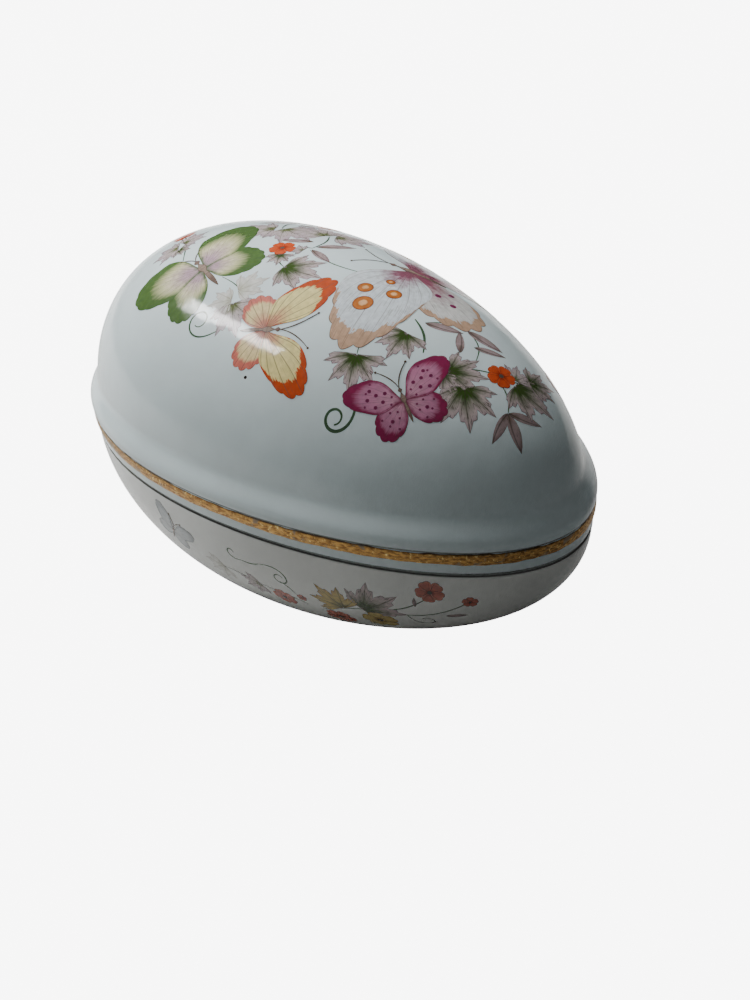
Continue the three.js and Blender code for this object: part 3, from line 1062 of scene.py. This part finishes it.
def faint_spray(name, body, place):
    """Ivy in pale wash with fine ink, on a thin stem, over a tendril."""
    printed(name, body, [
        ivy(place, -1, 4.5, 50, 7, ivy_faint, side=0.6),
        ivy(place, -0.5, 2, 210, 6, ivy_faint, side=0.6),
        ivy(place, 0.5, 1.5, -50, 9, ivy_mauve, side=0.55),
        stem(place, (-8, 6), (4, 2.5), 0.08, 0.24),
        tendril(place, (2.5, -4), 230, 22, -430),
    ])


faint_spray("lid_spray_faint", "lid", site(lid_egg, -3, 33, 0))


def narrow_spray(name, body, place):
    """The spray over the narrow end: ivy on both sides of a blossom, and a sprig of three slender leaves."""
    printed(name, body, [
        ivy(place, -6.5, -4, 35, 8, ivy_green, side=0.75),
        ivy(place, -6.5, -5, -50, 4.5, ivy_green, side=0.6),
        ivy(place, -2, -4, -40, 9.5, ivy_green, side=0.6),
        slender(place, -8.5, 1, 120, 6.5, slender_plum),
        *blossom(place, 0, 4, 3, 40, blossom_red),
        ivy(place, 2, 6, 120, 5, ivy_mauve, side=0.8),
        ivy(place, 3, 5, 10, 9.5, ivy_green, side=0.6),
        ivy(place, 3.5, 9, 60, 7, ivy_green, side=0.7),
        stem(place, (-9, -4), (-2, -4), 0.12),
        stem(place, (-6.5, -4), (0, 4), 0.06),
        stem(place, (0, 4), (4.5, 8.5), -0.08),
        stem(place, (1, 2.5), (7, -1), 0.1),
        slender(place, 7, -1, -80, 7, slender_plum),
        slender(place, 7, -1, -35, 8, slender_plum),
        slender(place, 7, -1, 25, 7, slender_plum),
    ])


narrow_spray("lid_spray_narrow", "lid", site(lid_egg, 50, 3, 0))

# The far side of the lid carries the same sorts of print, set out afresh.
green_butterfly("lid_butterfly_green_back", "lid", site(lid_egg, -36, -52, 30))
orange_butterfly("lid_butterfly_orange_back", "lid", site(lid_egg, 40, -78, 10))
crown_spray("lid_spray_back_blunt", "lid", site(lid_egg, -22, -26, 175))
narrow_spray("lid_spray_back_middle", "lid", site(lid_egg, -8, -54, 190))
narrow_spray("lid_spray_back_narrow", "lid", site(lid_egg, 24, -84, 176))

# A single iron speck that came up through the glaze on the lid's near side.
iron_black = enamel("iron_black", (0.012, 0.01, 0.01), (0.012, 0.01, 0.01), (0.02, 0.015, 0.012), BROWN_INK)
printed("lid_speck", "lid", [dot(site(lid_egg, 11, 50, 0), 0, 0, 0.35, 0.02, iron_black)])

# ---------------------------------------------------------------- prints on the base
# Round the base: smaller sprays in softer colours, low on its sides, and a pale grey butterfly.
grey_wing = enamel(
    "grey_wing", (0.44, 0.46, 0.46), (0.37, 0.40, 0.42), (0.24, 0.26, 0.27), (0.16, 0.17, 0.17),
    root_reach=0.5, margin_start=0.66, blend=0.2, edge_wash=0.5, vein=0.05, outline_width=0.06,
)
ivy_olive = enamel(
    "ivy_olive", (0.16, 0.15, 0.04), (0.46, 0.36, 0.13), (0.40, 0.27, 0.12), LEAF_INK,
    root_reach=0.5, margin_start=0.8, edge_wash=0.3, vein=0.12, outline_width=0.13, etching=0.5,
)
blossom_rust = enamel(
    "blossom_rust", (0.25, 0.06, 0.04), (0.44, 0.14, 0.10), (0.48, 0.22, 0.16), (0.14, 0.03, 0.02),
    root_reach=0.45, margin_start=0.85, vein=0.05, outline_width=0.13,
)
blossom_straw = enamel(
    "blossom_straw", (0.26, 0.16, 0.04), (0.50, 0.40, 0.16), (0.46, 0.33, 0.14), (0.14, 0.09, 0.03),
    root_reach=0.45, margin_start=0.85, vein=0.05, outline_width=0.13,
)


def grey_butterfly(name, body, place):
    """The base's butterfly: small, and printed in greys only."""
    butterfly(
        name, body, place, 5.4,
        dict(lead=25, trail=80, reach=8, bow=0.3, lobes=5, notch=0.03),
        dict(lead=85, trail=160, reach=5.5, bow=0.2, lobes=5, notch=0.05),
        (grey_wing, grey_wing), feeler=3.0,
    )


def low_spray(name, body, place):
    """The spray's end: two tendrils over a blossom, a bud and two faint leaves."""
    printed(name, body, [
        stem(place, (-5, 3.5), (0, 4), -0.08, 0.36),
        tendril(place, (-5, 3.5), 190, 7, -280, 0.36),
        tendril(place, (0, 4), 10, 16, -440, 0.36),
        stem(place, (4, 0), (6.5, -4), 0.12),
        *blossom(place, 2, -6.5, 3, 30, blossom_rust),
        *blossom(place, 7.5, -4.5, 1.2, 10, blossom_rust),
        ivy(place, -12.5, -1.5, 205, 6.5, ivy_faint, side=0.7),
        ivy(place, -3, -3.5, 200, 6, ivy_mauve, side=0.7),
        stem(place, (-12.5, -1.5), (-3, -3.5), 0.06),
        stem(place, (-3, -3.5), (8, -7), 0.05),
    ])


def long_spray(name, body, place):
    """The spray's middle: leaves in olive and mauve, and blossoms on branching stems."""
    printed(name, body, [
        ivy(place, -6, -1, 110, 8.5, ivy_olive, side=0.85),
        ivy(place, -1.5, -0.5, 20, 11, ivy_green, side=0.48),
        *blossom(place, -9.5, -6.5, 3.5, 50, blossom_rust),
        *blossom(place, 0.5, -5.5, 4, 15, blossom_straw),
        *blossom(place, 15.5, 5, 3, 30, blossom_rust),
        *blossom(place, 22, 0.5, 1.6, 0, blossom_rust),
        slender(place, 15.5, -3.5, -25, 4.5, slender_plum),
        slender(place, 11, 1, 60, 3, slender_plum),
        stem(place, (-12, -3), (1, -0.5), 0.05),
        stem(place, (1, -0.5), (14.5, 3.5), -0.08),
        stem(place, (1, -0.5), (22, 0.5), -0.12),
        tendril(place, (8, -2), -90, 12, 330, 0.3),
    ])


grey_butterfly("base_butterfly_grey", "base", site(base_egg, -9, 76, 61))
low_spray("base_spray_low", "base", site(base_egg, 18, 72, 0))
long_spray("base_spray_long", "base", site(base_egg, 40, 64, 0))
grey_butterfly("base_butterfly_back", "base", site(base_egg, 22, -74, 300))
low_spray("base_spray_back_low", "base", site(base_egg, 40, -66, 180))
long_spray("base_spray_back_long", "base", site(base_egg, -8, -70, 180))

# ---------------------------------------------------------------- studio
# A plain pale table top, a big soft lamp high up past the blunt end, a weak one overhead, a narrow one that
# makes the glint, and a dim room. The two wide lamps are hidden from reflections.
TABLE_HALF = 1500.0


def table_white():
    """A matt pale top, greyer past the narrow end, that the camera sees lit up to white."""
    material, tree, shader = new_material("table_white")
    place = on_object(tree)
    along = add_node(tree, "SeparateXYZ", {0: place}).outputs["X"]
    far = ease(tree, along, 0.0, 0.14)
    top = mixed(tree, far, (0.46, 0.46, 0.45, 1), (0.17, 0.17, 0.17, 1))
    tree.links.new(top, shader.inputs["Base Color"])
    shader.inputs["Roughness"].default_value = 0.7
    glow = add_node(tree, "Emission", {"Color": (1, 1, 1, 1), "Strength": 9.0})
    seen = sums(tree, "MULTIPLY", add_node(tree, "LightPath").outputs["Is Camera Ray"], 0.88)
    lit = add_node(tree, "MixShader", {0: seen, 1: shader.outputs[0], 2: glow.outputs[0]})
    tree.links.new(lit.outputs[0], tree.nodes["Material Output"].inputs["Surface"])
    return material


table = new_object(
    "table_top",
    np.array([[-1, -1, 0], [1, -1, 0], [1, 1, 0], [-1, 1, 0]]) * TABLE_HALF,
    [[0, 1, 2, 3]],
    [table_white()],
)


def soft_lamp(name, towards, distance, width, height, watts, roll=0.0):
    """A soft box in a direction from the box, facing it and rolled by an angle."""
    lamp = bpy.data.lights.new(name, "AREA")
    lamp.shape, lamp.size, lamp.size_y, lamp.energy = "RECTANGLE", width, height, watts
    direction = Vector(towards).normalized()
    thing = bpy.data.objects.new(name, lamp)
    thing.location = direction * distance
    facing = direction.to_track_quat("Z", "Y") @ Euler((0, 0, roll)).to_quaternion()
    thing.rotation_euler = facing.to_euler()
    bpy.context.scene.collection.objects.link(thing)


soft_lamp("key_softbox", (-0.72, 0.12, 0.68), 0.8, 0.80, 0.55, 17.0)
soft_lamp("top_fill", (0.25, -0.2, 0.93), 0.9, 0.9, 0.9, 1.0)
for name in ("key_softbox", "top_fill"):
    bpy.data.objects[name].visible_glossy = False
soft_lamp("glint_strip", (-0.595, -0.315, 0.74), 0.6, 0.30, 0.05, 1.3, 0.75)
room = bpy.data.worlds.new("dim_room")
room.use_nodes = True
backdrop = room.node_tree.nodes["Background"]
backdrop.inputs["Color"].default_value = (0.95, 0.98, 1.0, 1)
seen = add_node(room.node_tree, "LightPath").outputs["Is Camera Ray"]
room.node_tree.links.new(ease(room.node_tree, seen, 0.0, 1.0, 0.03, 8.0), backdrop.inputs["Strength"])
bpy.context.scene.world = room
